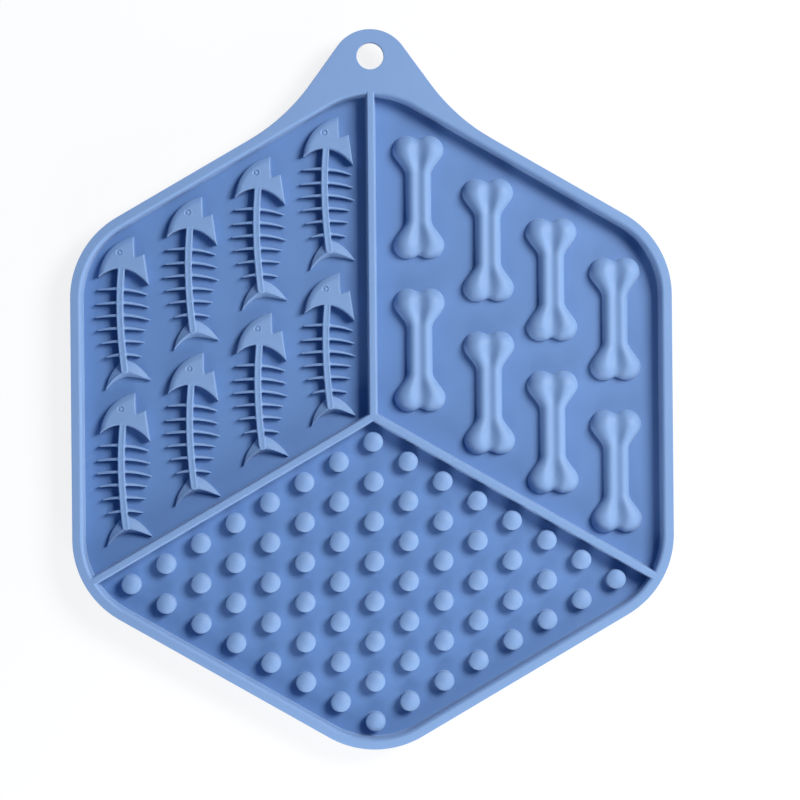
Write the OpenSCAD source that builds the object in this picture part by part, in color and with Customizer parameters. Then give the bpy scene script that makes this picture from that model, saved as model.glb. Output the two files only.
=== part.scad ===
// Lick mat: a shallow six-sided tray of silicone rubber. Three dividers part it into a field of
// fishbones, a field of bones and a field of nubs, for a pet to lick soft food from. It has a
// tab to hang it by, and suction cups underneath that hold it to a floor or a wall.
// Lengths are in millimetres. The mat lies flat with +Z up and its tab towards +Y. The origin is
// at the middle of its outer box, on the surface that it stands on.

/* [Mat] */
// Width between two opposite flat sides
across_flats = 200; // [180:1:260]
// Outer radius of the rounded corners
corner_r = 31; // [18:1:40]
// Thickness of the floor sheet
floor_t = 1.8; // [1:0.1:4]
// Lean of the moulded walls, in degrees
draft = 3; // [0:0.5:6]

/* [Rim] */
// Height of the rim above the floor
rim_h = 6; // [5:0.5:10]
// Width of the rim across its top
rim_w = 3.6; // [2.4:0.1:8]
// Radius of the rim's inner top edge
rim_edge_r = 1.2; // [0.3:0.1:1.8]

/* [Dividers] */
// Width of a divider across its top
divider_w = 2.5; // [1.6:0.1:5]
// Radius of a divider's two top edges
divider_edge_r = 0.5; // [0.2:0.05:0.7]

/* [Hanging tab] */
// Radius of the tab's round end
tab_end_r = 13.3; // [11:0.1:18]
// Lean of the tab's two flanks, in degrees from the line through the hole
tab_flank_lean = 36; // [32:1:44]
// Radius of the hollow curve from each flank into the side of the mat
tab_blend_r = 66; // [30:1:100]
// Thickness of the tab
tab_t = 3; // [2:0.1:5]
// Diameter of the hanging hole
hole_d = 9; // [5:0.5:12]
// Height of the hole's centre beyond the point where the mat's sides would meet
hole_rise = 4.4; // [2:0.1:6]

/* [Fishbones] */
// Width over the longest rib and the tail
fish_w = 18.1; // [14:0.1:20]
// Height of the head at the gill
fish_head_h = 3.6; // [2.5:0.1:5]
// Height of the head at the nose
fish_nose_h = 2.4; // [1.5:0.1:2.5]
// Height of the tail along its hollow trailing edge
fish_tail_h = 3.2; // [2:0.1:5]
// Height of the tail where it leaves the spine
fish_tail_low_h = 1.4; // [0.8:0.1:2]
// Width of the spine
spine_w = 2.3; // [1.4:0.1:3]
// Height of the spine
spine_h = 3.4; // [2:0.1:5]
// Thickness of a rib beside the spine
rib_w = 0.95; // [0.5:0.05:1.4]
// Height of a rib beside the spine
rib_h = 3.1; // [2:0.1:4]
// Height of a rib at its tip
rib_tip_h = 1.8; // [0.8:0.1:2]
// Diameter of the ring-shaped groove that makes the eye
eye_d = 1.6; // [1.2:0.1:2]
// Diameter of the dot left standing in the eye
eye_dot_d = 0.7; // [0.4:0.1:0.9]
// Depth of the eye's groove
eye_depth = 0.4; // [0.2:0.1:1]
// Bare floor between a fishbone's side and the wall next to it
fish_wall_gap = 4.2; // [2:0.1:5]
// Bare floor below a column of fishbones
fish_foot_gap = 4; // [2:0.1:8]
// Bare floor above a column of fishbones
fish_head_gap = 2.6; // [1:0.1:8]
// Bare floor between the two fishbones of a column
fish_end_gap = 1.1; // [0.5:0.1:6]

/* [Bones] */
// Width over the knobs
bone_w = 17.1; // [12:0.1:19]
// Height of the knobs
bone_h = 4.6; // [3:0.1:6]
// Depth of the notch between the two knobs of an end
bone_notch = 1.1; // [0.4:0.1:2]
// Depth of the groove between the knobs, at its deepest
bone_groove = 1.5; // [0.4:0.1:1.8]
// Bare floor between a bone's side and the wall next to it
bone_wall_gap = 6.1; // [3:0.1:7]
// Bare floor below a column of bones
bone_foot_gap = 9.2; // [5:0.1:12]
// Bare floor above a column of bones
bone_head_gap = 8.1; // [4:0.1:12]
// Bare floor between the two bones of a column
bone_end_gap = 9.9; // [4:0.1:16]
// Extra floor between the first and second columns of bones
bone_first_gap = 2.3; // [0:0.1:4]
// How much nearer to its divider each column of bones lies than the one before
bone_column_drop = 1.1; // [0:0.1:2]

/* [Nubs] */
// Diameter of a nub
nub_d = 6.5; // [4:0.1:9]
// Height of a nub
nub_h = 4.2; // [3:0.1:7]
// Height of the dome on top of a nub
nub_crown = 1; // [0.4:0.1:2]
// Bare floor between a nub and the divider next to it
nub_divider_gap = 2.8; // [1:0.1:5]
// Bare floor between a nub and the rim next to it
nub_rim_gap = 4.7; // [1:0.1:6]

/* [Suction cups] */
// Diameter of a cup at its lip
cup_d = 14; // [10:0.5:20]
// Height of a cup
cup_h = 2.2; // [1.8:0.1:4]
// Diameter of the neck that joins a cup to the floor
cup_neck_d = 6; // [4:0.5:8]
// Width of the flat lip
cup_lip_w = 0.6; // [0.4:0.1:1.2]
// Depth of a cup's hollow
cup_hollow = 1.3; // [0.8:0.1:1.5]
// Distance from an outermost cup to the mat's nearest corner
cup_edge_gap = 24; // [15:1:30]

/* [Hidden] */
FISHBONES = 8;
BONES = 8;
NUB_ROWS = 8;
$fn = 96;

// Colours of the sheet, its walls, the reliefs and the cups
sheet_colour = "#6c8ecb";
wall_colour = "#7a9ad2";
relief_colour = "#8fabdc";
cup_colour = "#6385c4";

// How far a cut runs past what it cuts
overrun = 1;
// How far a rounded corner stands proud of the flat sides that run into it, so that they cross
corner_lap = 0.001;
// Segments of a small edge, of a drawn curve and of a dome
edge_steps = 4;
curve_steps = 8;
dome_steps = 8;

// The hexagon has its corners at the top and bottom, and its flat sides to the left and right
corner_turn = 60;
corner_half_turn = corner_turn / 2;
top_corner = 90;
left_corner = 210;
right_corner = 330;
apothem = across_flats / 2;
vertex_dist = apothem / cos(corner_half_turn);
side_len = vertex_dist;
corner_dist = (apothem - corner_r) / cos(corner_half_turn);
corner_tip = corner_dist + corner_r;
tab_tip = vertex_dist + tab_end_r;
mat_y = (corner_tip - tab_tip) / 2;

// Levels above the surface that the mat stands on
floor_z = cup_h;
relief_z = floor_z + floor_t;
top_z = relief_z + rim_h;
rim_foot_w = rim_w + (rim_h - rim_edge_r) * tan(draft);

// A compartment is a rhombus between two dividers. Places in it are measured along its two
// dividers, so its pattern keeps clear of the walls when the mat's size changes.
divider_inset = divider_w / 2 / cos(corner_half_turn);
rim_inset = rim_foot_w / cos(corner_half_turn);

FISH_COLUMNS = 4;
FISH_ROWS = 2;
fish_first = divider_inset + (fish_wall_gap + fish_w / 2) / cos(corner_half_turn);
fish_last = side_len - rim_inset - (fish_wall_gap + fish_w / 2) / cos(corner_half_turn);
fish_pitch = (fish_last - fish_first) / (FISH_COLUMNS - 1);
fish_room = side_len - divider_inset - rim_inset - fish_foot_gap - fish_head_gap;
fish_len = (fish_room - (FISH_ROWS - 1) * fish_end_gap) / FISH_ROWS;
fish_low = divider_inset + fish_foot_gap + fish_len / 2;

BONE_COLUMNS = 4;
BONE_ROWS = 2;
bone_first = divider_inset + (bone_wall_gap + bone_w / 2) / cos(corner_half_turn);
bone_last = side_len - rim_inset - (bone_wall_gap + bone_w / 2) / cos(corner_half_turn);
bone_pitch = (bone_last - bone_first - bone_first_gap) / (BONE_COLUMNS - 1);
bone_room = side_len - divider_inset - rim_inset - bone_foot_gap - bone_head_gap;
bone_len = (bone_room - (BONE_ROWS - 1) * bone_end_gap) / BONE_ROWS;
bone_low = divider_inset + bone_foot_gap + bone_len / 2;

NUBS_IN_ROW = 8;
nub_first = divider_inset + (nub_divider_gap + nub_d / 2) / cos(corner_half_turn);
nub_last = side_len - rim_inset - (nub_rim_gap + nub_d / 2) / cos(corner_half_turn);
nub_pitch = (nub_last - nub_first) / (NUBS_IN_ROW - 1);

CUP_RINGS = 2;
cup_pitch = (corner_tip - cup_edge_gap - cup_d / 2) / CUP_RINGS;

// Outline of a fishbone, as shares of its width and its length from its middle. The head runs
// from the nose down its back to the left gill, along the gill to the right, and up the jaw.
nose_share = [0.206, 0.5];
back_bend_share = [-0.366, 0.452];
left_gill_share = [-0.445, 0.237];
gill_bend_share = [0.04, 0.367];
right_gill_share = [0.476, 0.185];
jaw_share = [0.396, 0.384];
mouth_share = [0.228, 0.362];
lip_share = [0.219, 0.378];
eye_share = [-0.055, 0.395];
// The head is lowest at the nose and has its full height below this share of the length
head_full_share = 0.3;
// The tail runs from its left shoulder to the left tip, along the hollow edge and back up
tail_left_shoulder_share = [-0.07, -0.325];
tail_left_bend_share = [-0.295, -0.405];
tail_left_tip_share = [-0.325, -0.5];
tail_hollow_left_share = [-0.19, -0.41];
tail_hollow_top_share = [0.041, -0.391];
tail_hollow_right_share = [0.261, -0.392];
tail_right_tip_share = [0.5, -0.44];
tail_right_bend_share = [0.281, -0.328];
tail_right_shoulder_share = [0.066, -0.31];
// The tail has its full height below this share of the length
tail_full_share = -0.375;
// The spine bows to the left between the gill and the tail
spine_top_share = [-0.019, 0.3];
spine_bend_share = [-0.108, 0.002];
spine_foot_share = [0.019, -0.375];
// Each rib: the height of its root on the spine, then its tip
left_rib_shares = [
    [0.161, [-0.446, 0.154]],
    [0.069, [-0.483, 0.059]],
    [-0.014, [-0.5, -0.026]],
    [-0.098, [-0.459, -0.111]],
    [-0.183, [-0.394, -0.196]],
    [-0.27, [-0.304, -0.286]]
];
right_rib_shares = [
    [0.156, [0.441, 0.121]],
    [0.07, [0.458, 0.039]],
    [-0.011, [0.486, -0.045]],
    [-0.096, [0.398, -0.112]],
    [-0.179, [0.371, -0.191]],
    [-0.266, [0.321, -0.283]]
];
// Thickness of a rib's tip, as a share of its thickness at the root
rib_point_share = 0.3;

// Shape of a bone along its half length, from its middle to its end. The first three are
// shares of its half length: where the neck starts, and where the knob is widest and highest.
neck_share = 0.36;
knob_wide_share = 0.76;
knob_high_share = 0.75;
// Half width of the shaft and of the end's flat, as shares of the bone's half width
shaft_w_share = 0.5;
end_w_share = 0.45;
// Height of the shaft as a share of the knobs' height
shaft_h_share = 0.76;
// Where the groove is deepest, as a share of the half length
pit_share = 0.62;
// Depth of the groove in the shaft and at the end, as shares of its depth in the pit
shaft_groove_share = 0.3;
end_groove_share = 0.6;
// Distance of the two strands' ridges from the middle, as a share of the half width
ridge_share = 0.45;
// Reach of the notch from the middle, as a share of the half width
notch_reach_share = 0.22;
// Power that sets how near to a bone's end the notch begins
notch_start = 6;
BONE_STATIONS = 28;
BONE_STRIPS = 14;

// A point at a distance and an angle
function polar(r, a) = r * [cos(a), sin(a)];

// Points along an arc
function arc(centre, r, from, to, steps) =
    [for (i = [0 : steps]) centre + polar(r, from + (to - from) * i / steps)];

// Points along a curve that leaves a towards bend and reaches b, without its last point
function curve(a, bend, b) =
    [for (i = [0 : curve_steps - 1])
        let (t = i / curve_steps) a * (1 - t) * (1 - t) + bend * 2 * t * (1 - t) + b * t * t];

// A point given in shares of a fishbone's width and length
function on_fish(share) = [share[0] * fish_w, share[1] * fish_len];

// An S-shaped rise from 0 to 1 as v goes from low to high
function rise(v, low, high) =
    let (t = min(1, max(0, (v - low) / (high - low)))) t * t * (3 - 2 * t);

// A place in a compartment, along its upper divider and along its lower one at an angle
function in_rhombus(up, out, out_angle) = polar(up, top_corner) + polar(out, out_angle);

// The inner face of the rim from below its foot to above its top, at an offset from its outside
function rim_inner_face(outside) =
    let (edge = [outside - rim_w + rim_edge_r, rim_h - rim_edge_r])
    let (edge_arc = arc(edge, rim_edge_r, 180 - draft, 90, edge_steps))
    let (first = edge_arc[0])
    let (foot_x = first[0] - first[1] * tan(draft))
    concat(
        [[foot_x, -overrun], [foot_x, 0]],
        edge_arc,
        [[edge[0], rim_h + overrun]]
    );

// One half of a divider's section, from its foot to the middle of its top
function divider_half_section() =
    let (edge = [divider_w / 2 - divider_edge_r, rim_h - divider_edge_r])
    let (edge_arc = arc(edge, divider_edge_r, draft, 90, edge_steps))
    concat([[edge_arc[0][0] + edge_arc[0][1] * tan(draft), 0]], edge_arc);

// Everything is drawn about the middle of the hexagon and then set into the outer box
module place(z) {
    translate([0, mat_y, z]) children();
}

// The hexagon with rounded corners, as a plate
module hexagon_plate(thick) {
    corners = [for (k = [0 : 5]) top_corner + k * corner_turn];
    linear_extrude(height = thick)
        polygon([for (a = corners) each [
            polar(corner_dist, a) + polar(corner_r, a - corner_half_turn),
            polar(corner_dist, a) + polar(corner_r, a + corner_half_turn)
        ]]);
    for (a = corners)
        translate(polar(corner_dist, a))
            cylinder(h = thick, r = corner_r + corner_lap);
}

// What the rim leaves open: a hexagon with rounded corners and leaning sides
module rim_opening() {
    side_face = rim_inner_face(apothem);
    corner_face = rim_inner_face(corner_r + corner_lap);
    last = len(side_face) - 1;
    for (k = [0 : 2])
        rotate([90, 0, k * corner_turn])
            linear_extrude(height = corner_dist, center = true)
                polygon(concat(
                    side_face,
                    [for (i = [last : -1 : 0]) [-side_face[i][0], side_face[i][1]]]
                ));
    for (k = [0 : 5])
        translate(polar(corner_dist, top_corner + k * corner_turn))
            rotate_extrude()
                polygon(concat([[0, -overrun]], corner_face, [[0, rim_h + overrun]]));
}

module rim_body() {
    difference() {
        hexagon_plate(rim_h);
        rim_opening();
    }
}

module mat_floor() {
    color(sheet_colour) place(floor_z) hexagon_plate(floor_t);
}

module rim() {
    color(wall_colour) place(relief_z) rim_body();
}

// The right half of the tab's outline, from its tip to where it runs into the mat's side
function tab_half_outline() =
    let (vertex = [0, vertex_dist])
    let (flank_normal = polar(1, tab_flank_lean))
    let (side_normal = polar(1, top_corner - corner_half_turn))
    let (turn = corner_turn - tab_flank_lean)
    let (meet = vertex + polar(tab_end_r / sin(turn), -corner_half_turn))
    let (reach = tab_blend_r * tan(turn / 2))
    let (blend_start = meet + polar(reach, tab_flank_lean + 90))
    let (blend_centre = blend_start + flank_normal * tab_blend_r)
    concat(
        arc(vertex, tab_end_r, 90, tab_flank_lean, curve_steps),
        arc(blend_centre, tab_blend_r, 180 + tab_flank_lean, 180 + corner_turn, curve_steps)
    );

module hanging_tab() {
    half = tab_half_outline();
    last = len(half) - 1;
    color(wall_colour) place(top_z - tab_t)
        difference() {
            linear_extrude(height = tab_t)
                polygon(concat(
                    [for (i = [last : -1 : 1]) [-half[i][0], half[i][1]]],
                    half
                ));
            translate([0, 0, -overrun]) hexagon_plate(tab_t + 2 * overrun);
            translate([0, vertex_dist + hole_rise, -overrun])
                cylinder(h = tab_t + 2 * overrun, d = hole_d);
        }
}

// A divider from the middle of the mat to a corner. Its inner end is pointed, so that three
// meet along mitred joints, and its outer end is cut to the rim that it butts against.
module divider(a) {
    half = divider_half_section();
    half_foot = half[0][0];
    reach = corner_dist + corner_r - rim_w / 2;
    color(wall_colour) place(relief_z)
        difference() {
            intersection() {
                rotate([90, 0, a + 90])
                    linear_extrude(height = reach)
                        polygon(concat(
                            half,
                            [for (i = [len(half) - 1 : -1 : 0]) [-half[i][0], half[i][1]]]
                        ));
                rotate(a)
                    linear_extrude(height = rim_h)
                        polygon([
                            [0, 0],
                            [half_foot / tan(corner_turn), -half_foot],
                            [reach, -half_foot],
                            [reach, half_foot],
                            [half_foot / tan(corner_turn), half_foot]
                        ]);
            }
            rim_body();
        }
}

module divider_top() {
    divider(top_corner);
}

module divider_left() {
    divider(left_corner);
}

module divider_right() {
    divider(right_corner);
}

// A prism whose section in y and z is extruded across a fishbone, to slope what it cuts
module fish_envelope(section) {
    rotate([90, 0, 90])
        linear_extrude(height = fish_w + 2 * overrun, center = true)
            polygon(section);
}

module fish_head() {
    nose = on_fish(nose_share);
    gill = on_fish(right_gill_share);
    full = head_full_share * fish_len;
    eye = on_fish(eye_share);
    slope = (fish_head_h - fish_nose_h) / (nose[1] - full);
    eye_z = fish_head_h - slope * (eye[1] - full);
    difference() {
        intersection() {
            linear_extrude(height = fish_head_h)
                polygon(concat(
                    curve(nose, on_fish(back_bend_share), on_fish(left_gill_share)),
                    curve(on_fish(left_gill_share), on_fish(gill_bend_share), gill),
                    [gill, on_fish(jaw_share), on_fish(mouth_share), on_fish(lip_share)]
                ));
            fish_envelope([
                [gill[1], 0],
                [nose[1], 0],
                [nose[1], fish_nose_h],
                [full, fish_head_h],
                [gill[1], fish_head_h]
            ]);
        }
        translate([eye[0], eye[1], eye_z - eye_depth])
            difference() {
                cylinder(h = eye_depth + overrun, d = eye_d);
                translate([0, 0, -overrun])
                    cylinder(h = eye_depth + 3 * overrun, d = eye_dot_d);
            }
    }
}

module fish_tail() {
    top = tail_right_shoulder_share[1] * fish_len;
    full = tail_full_share * fish_len;
    bottom = -fish_len / 2;
    left_tip = on_fish(tail_left_tip_share);
    right_tip = on_fish(tail_right_tip_share);
    hollow_top = on_fish(tail_hollow_top_share);
    intersection() {
        linear_extrude(height = fish_tail_h)
            polygon(concat(
                curve(on_fish(tail_left_shoulder_share), on_fish(tail_left_bend_share), left_tip),
                curve(left_tip, on_fish(tail_hollow_left_share), hollow_top),
                curve(hollow_top, on_fish(tail_hollow_right_share), right_tip),
                curve(right_tip, on_fish(tail_right_bend_share), on_fish(tail_right_shoulder_share)),
                [on_fish(tail_right_shoulder_share)]
            ));
        fish_envelope([
            [bottom, 0],
            [top, 0],
            [top, fish_tail_low_h],
            [full, fish_tail_h],
            [bottom, fish_tail_h]
        ]);
    }
}

// Points along the middle of the spine, from the head to the tail
function spine_line() = concat(
    curve(on_fish(spine_top_share), on_fish(spine_bend_share), on_fish(spine_foot_share)),
    [on_fish(spine_foot_share)]
);

module fish_spine() {
    line = spine_line();
    half = [spine_w / 2, 0];
    linear_extrude(height = spine_h)
        polygon(concat(
            [for (p = line) p - half],
            [for (i = [len(line) - 1 : -1 : 0]) line[i] + half]
        ));
}

// A rib that leaves the spine square to it, droops and tapers to a blunt point
module rib_outline(root, tip) {
    line = concat(curve(root, [(root[0] + tip[0]) / 2, root[1]], tip), [tip]);
    half = [for (i = [0 : curve_steps])
        [0, rib_w / 2 * (1 - (1 - rib_point_share) * pow(i / curve_steps, 2))]];
    polygon(concat(
        [for (i = [0 : curve_steps]) line[i] - half[i]],
        [for (i = [curve_steps : -1 : 0]) line[i] + half[i]]
    ));
}

// How far the middle of the spine lies to the right at a height along the fishbone
function spine_x(y) = lookup(y, [for (p = spine_line()) [p[1], p[0]]]);

// The ribs, cut so that they fall away from the spine to their tips
module fish_ribs() {
    root_x = spine_x(0);
    intersection() {
        linear_extrude(height = rib_h)
            for (rib = concat(left_rib_shares, right_rib_shares))
                rib_outline(
                    [spine_x(rib[0] * fish_len), rib[0] * fish_len],
                    on_fish(rib[1])
                );
        rotate([90, 0, 0])
            linear_extrude(height = fish_len, center = true)
                polygon([
                    [-fish_w / 2, 0],
                    [fish_w / 2, 0],
                    [fish_w / 2, rib_tip_h],
                    [root_x + spine_w / 2, rib_h],
                    [root_x - spine_w / 2, rib_h],
                    [-fish_w / 2, rib_tip_h]
                ]);
    }
}

// Fishbones are numbered along the upper row from the left, and then along the lower row
module fishbone(number) {
    row = floor((number - 1) / FISH_COLUMNS);
    column = (number - 1) % FISH_COLUMNS;
    up = fish_low + (FISH_ROWS - 1 - row) * (fish_len + fish_end_gap);
    out = fish_last - column * fish_pitch;
    color(relief_colour) place(relief_z)
        translate(in_rhombus(up, out, left_corner)) {
            fish_head();
            fish_spine();
            fish_ribs();
            fish_tail();
        }
}

// Half width of a bone at a share u of its half length, as a share of the bone's half width
function bone_width_at(u) =
    u > knob_wide_share
    ? end_w_share + (1 - end_w_share) * sqrt(1 - pow((u - knob_wide_share) / (1 - knob_wide_share), 2))
    : shaft_w_share + (1 - shaft_w_share) * rise(u, neck_share, knob_wide_share);

// Height of a bone's ridge at a share u of its half length, as a share of the knobs' height
function bone_height_at(u) =
    u > knob_high_share
    ? sqrt(1 - pow((u - knob_high_share) / (1 - knob_high_share), 2))
    : shaft_h_share + (1 - shaft_h_share) * rise(u, neck_share, knob_high_share);

// Depth of the groove at a share u of the half length, as a share of its depth in the pit
function bone_groove_at(u) =
    bone_height_at(u)
    * (u < pit_share
        ? shaft_groove_share + (1 - shaft_groove_share) * rise(u, neck_share, pit_share)
        : 1 - (1 - end_groove_share) * rise(u, pit_share, 1));

// Height of a bone at a share v of its half width: round outside its ridges, grooved between
function bone_section(v, ridge_h, groove_depth) =
    v < ridge_share
    ? ridge_h - groove_depth * (1 + cos(180 * v / ridge_share)) / 2
    : ridge_h * sqrt(max(0, 1 - pow((v - ridge_share) / (1 - ridge_share), 2)));

// A point of a bone's top at a station along it and a strip across it, both from 0 to 1
function bone_point(along, across) =
    let (side = along < 1 / 2 ? -1 : 1)
    let (u = sin(90 * abs(2 * along - 1)))
    let (v = sin(180 * across - 90))
    let (half_w = bone_w / 2)
    let (x = half_w * bone_width_at(u) * v)
    let (notch = bone_notch * exp(-pow(x / (notch_reach_share * half_w), 2)) * pow(u, notch_start))
    let (h = bone_section(abs(v), bone_h * bone_height_at(u), bone_groove * bone_groove_at(u)))
    let (on_foot = along == 0 || along == 1 || across == 0 || across == 1)
    [x, side * (u * bone_len / 2 - notch), on_foot ? 0 : h];

// The skin of a bone's top, with a skirt that runs straight down below the foot and is closed
// there by two fans, each about the middle of a pair of knobs
module bone_skin() {
    row = BONE_STRIPS + 1;
    last = BONE_STATIONS * row;
    half_way = BONE_STATIONS / 2;
    points = [for (i = [0 : BONE_STATIONS]) for (j = [0 : BONE_STRIPS])
        bone_point(i / BONE_STATIONS, j / BONE_STRIPS)];
    top = [for (i = [0 : BONE_STATIONS - 1]) for (j = [0 : BONE_STRIPS - 1])
        let (p = i * row + j) each [[p, p + row, p + row + 1], [p, p + row + 1, p + 1]]];
    edge = concat(
        [for (i = [half_way : -1 : 1]) i * row + BONE_STRIPS],
        [for (j = [BONE_STRIPS : -1 : 0]) j],
        [for (i = [1 : BONE_STATIONS - 1]) i * row],
        [for (j = [0 : BONE_STRIPS]) last + j],
        [for (i = [BONE_STATIONS - 1 : -1 : half_way + 1]) i * row + BONE_STRIPS]
    );
    n = len(edge);
    below = len(points);
    skirt = [for (k = [0 : n - 1])
        let (next = (k + 1) % n)
        each [[edge[k], edge[next], below + next], [edge[k], below + next, below + k]]];
    low_hub = below + n;
    high_hub = low_hub + 1;
    fans = [for (k = [0 : n - 1])
        let (hub = k < n / 2 ? low_hub : high_hub)
        [hub, below + k, below + (k + 1) % n]];
    hub = knob_wide_share * bone_len / 2;
    polyhedron(
        points = concat(
            points,
            [for (k = edge) points[k] - [0, 0, overrun]],
            [[0, -hub, -overrun], [0, hub, -overrun]]
        ),
        faces = concat(
            top,
            skirt,
            fans,
            [[low_hub, below + n / 2, high_hub], [low_hub, high_hub, below]]
        )
    );
}

// A bone: two rounded strands side by side that swell into a pair of knobs at each end
module bone_body() {
    intersection() {
        bone_skin();
        translate([-bone_w, -bone_len, 0]) cube([2 * bone_w, 2 * bone_len, 2 * bone_h]);
    }
}

// Bones are numbered along the upper row from the left, and then along the lower row
module bone(number) {
    row = floor((number - 1) / BONE_COLUMNS);
    column = (number - 1) % BONE_COLUMNS;
    up = bone_low + (BONE_ROWS - 1 - row) * (bone_len + bone_end_gap) - column * bone_column_drop;
    out = bone_first + column * bone_pitch + (column > 0 ? bone_first_gap : 0);
    color(relief_colour) place(relief_z)
        translate(in_rhombus(up, out, right_corner))
            bone_body();
}

// A nub: a short round post with a low dome on top
module nub() {
    r = nub_d / 2;
    dome_r = (r * r + nub_crown * nub_crown) / (2 * nub_crown);
    dome_edge = acos(r / dome_r);
    rotate_extrude()
        polygon(concat(
            [[0, 0], [r, 0]],
            arc([0, nub_h - dome_r], dome_r, dome_edge, 90, dome_steps)
        ));
}

// Rows of nubs run parallel to the left divider, and row 1 lies beside it
module nub_row(number) {
    color(relief_colour) place(relief_z)
        for (i = [0 : NUBS_IN_ROW - 1])
            translate(polar(nub_first + i * nub_pitch, left_corner)
                + polar(nub_first + (number - 1) * nub_pitch, right_corner))
                nub();
}

// A suction cup: a thin dished skirt on a neck, standing on a flat lip
module suction_cup() {
    lip = cup_d / 2;
    hollow_r = lip - cup_lip_w;
    neck = cup_neck_d / 2;
    rotate_extrude()
        polygon(concat(
            [[lip, 0], [lip, cup_lip_w]],
            curve([lip, cup_lip_w], [neck, cup_lip_w], [neck, cup_h]),
            [[neck, cup_h], [0, cup_h], [0, cup_hollow]],
            curve([0, cup_hollow], [hollow_r / 2, cup_hollow], [hollow_r, 0]),
            [[hollow_r, 0]]
        ));
}

// One ring of cups on a triangular grid: ring 1 has six cups and ring 2 has twelve
module cup_ring(ring) {
    color(cup_colour) place(0)
        for (k = [0 : 5])
            for (i = [0 : ring - 1])
                translate(polar(ring * cup_pitch, top_corner + k * corner_turn)
                    + polar(i * cup_pitch, top_corner + (k + 2) * corner_turn))
                    suction_cup();
}

module suction_cup_middle() {
    color(cup_colour) place(0) suction_cup();
}

module suction_cups_inner() {
    cup_ring(1);
}

module suction_cups_outer() {
    cup_ring(CUP_RINGS);
}

mat_floor();
rim();
hanging_tab();
divider_top();
divider_left();
divider_right();
for (i = [1 : FISHBONES]) fishbone(i);
for (i = [1 : BONES]) bone(i);
for (i = [1 : NUB_ROWS]) nub_row(i);
suction_cup_middle();
suction_cups_inner();
suction_cups_outer();
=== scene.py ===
import math

import bmesh
import bpy
import numpy as np
from mathutils import Matrix, Vector
from mathutils.geometry import tessellate_polygon


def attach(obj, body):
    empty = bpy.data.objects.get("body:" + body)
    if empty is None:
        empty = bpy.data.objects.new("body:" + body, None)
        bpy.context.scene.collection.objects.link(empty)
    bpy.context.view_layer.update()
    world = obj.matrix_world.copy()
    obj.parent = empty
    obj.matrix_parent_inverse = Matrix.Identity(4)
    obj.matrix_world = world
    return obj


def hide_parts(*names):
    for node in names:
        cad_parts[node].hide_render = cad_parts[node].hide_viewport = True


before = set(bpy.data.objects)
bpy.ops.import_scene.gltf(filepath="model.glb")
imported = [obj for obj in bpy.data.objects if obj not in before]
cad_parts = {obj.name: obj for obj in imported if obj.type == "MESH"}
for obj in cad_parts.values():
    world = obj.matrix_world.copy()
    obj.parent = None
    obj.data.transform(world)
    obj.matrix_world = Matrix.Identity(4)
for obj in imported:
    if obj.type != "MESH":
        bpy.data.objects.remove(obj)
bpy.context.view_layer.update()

# The lick mat's sizes, in millimetres as in the part's source. The mat's middle is the middle of
# the hexagon. z is measured up from the surface that the mat stands on.
MM = 0.001
ACROSS_FLATS = 200.0
CORNER_R = 31.0
FLOOR_T = 1.8
DRAFT = 3.0
RIM_H = 6.0
RIM_W = 3.6
RIM_EDGE_R = 1.2
DIVIDER_W = 2.5
DIVIDER_EDGE_R = 0.5
TAB_END_R = 13.3
TAB_FLANK_LEAN = 36.0
TAB_BLEND_R = 66.0
TAB_T = 3.0
HOLE_D = 9.0
HOLE_RISE = 4.4
FISH_W = 18.1
FISH_WALL_GAP = 4.2
FISH_FOOT_GAP = 4.0
FISH_HEAD_GAP = 2.6
FISH_END_GAP = 1.1
BONE_W = 17.1
BONE_H = 4.6
BONE_NOTCH = 1.1
BONE_GROOVE = 1.5
BONE_WALL_GAP = 6.1
BONE_FOOT_GAP = 9.2
BONE_HEAD_GAP = 8.1
BONE_END_GAP = 9.9
BONE_FIRST_GAP = 2.3
BONE_COLUMN_DROP = 1.1
NUB_D = 6.5
NUB_H = 4.2
NUB_CROWN = 1.0
NUB_DIVIDER_GAP = 2.8
NUB_RIM_GAP = 4.7
CUP_D = 14.0
CUP_H = 2.2
CUP_NECK_D = 6.0
CUP_LIP_W = 0.6
CUP_HOLLOW = 1.3
CUP_EDGE_GAP = 24.0

# Roundings that the mould leaves, too small for the part's source
FOOT_R = 0.2
FLOOR_EDGE_R = 0.3
TAB_EDGE_R = 0.18
NUB_EDGE_R = 0.45
CUP_LIP_R = 0.15

# Eight fishbones and eight bones, each in four columns of two
SHAPES = 8
COLUMNS = 4
NUB_ROWS = 8
NUBS_IN_ROW = 8

TOP_CORNER, LEFT_CORNER, RIGHT_CORNER = 90.0, 210.0, 330.0
LEAN = math.tan(math.radians(DRAFT))
COS30 = math.cos(math.radians(30))
APOTHEM = ACROSS_FLATS / 2
VERTEX_DIST = APOTHEM / COS30
CORNER_DIST = (APOTHEM - CORNER_R) / COS30
CORNER_TIP = CORNER_DIST + CORNER_R
MAT_Y = (CORNER_TIP - (VERTEX_DIST + TAB_END_R)) / 2
SHEET_Z = CUP_H
FIELD_Z = SHEET_Z + FLOOR_T
TOP_Z = FIELD_Z + RIM_H


def polar(r, degrees):
    """The point at a distance and an angle from the origin."""
    return np.array([r * math.cos(math.radians(degrees)), r * math.sin(math.radians(degrees))])


def arc(centre, r, start, end, steps):
    """Points on an arc, with both its ends."""
    return [np.asarray(centre) + polar(r, a) for a in np.linspace(start, end, steps + 1)]


def bend(a, control, b, steps=24):
    """Points on a curve that leaves a towards control and reaches b."""
    a, control, b = (np.asarray(p, float) for p in (a, control, b))
    return [a * (1 - t) ** 2 + control * 2 * t * (1 - t) + b * t * t
            for t in np.linspace(0, 1, steps + 1)]


def rise(v, low, high):
    """An S-shaped rise from 0 to 1 as v goes from low to high."""
    t = np.clip((v - low) / (high - low), 0, 1)
    return t * t * (3 - 2 * t)


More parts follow.
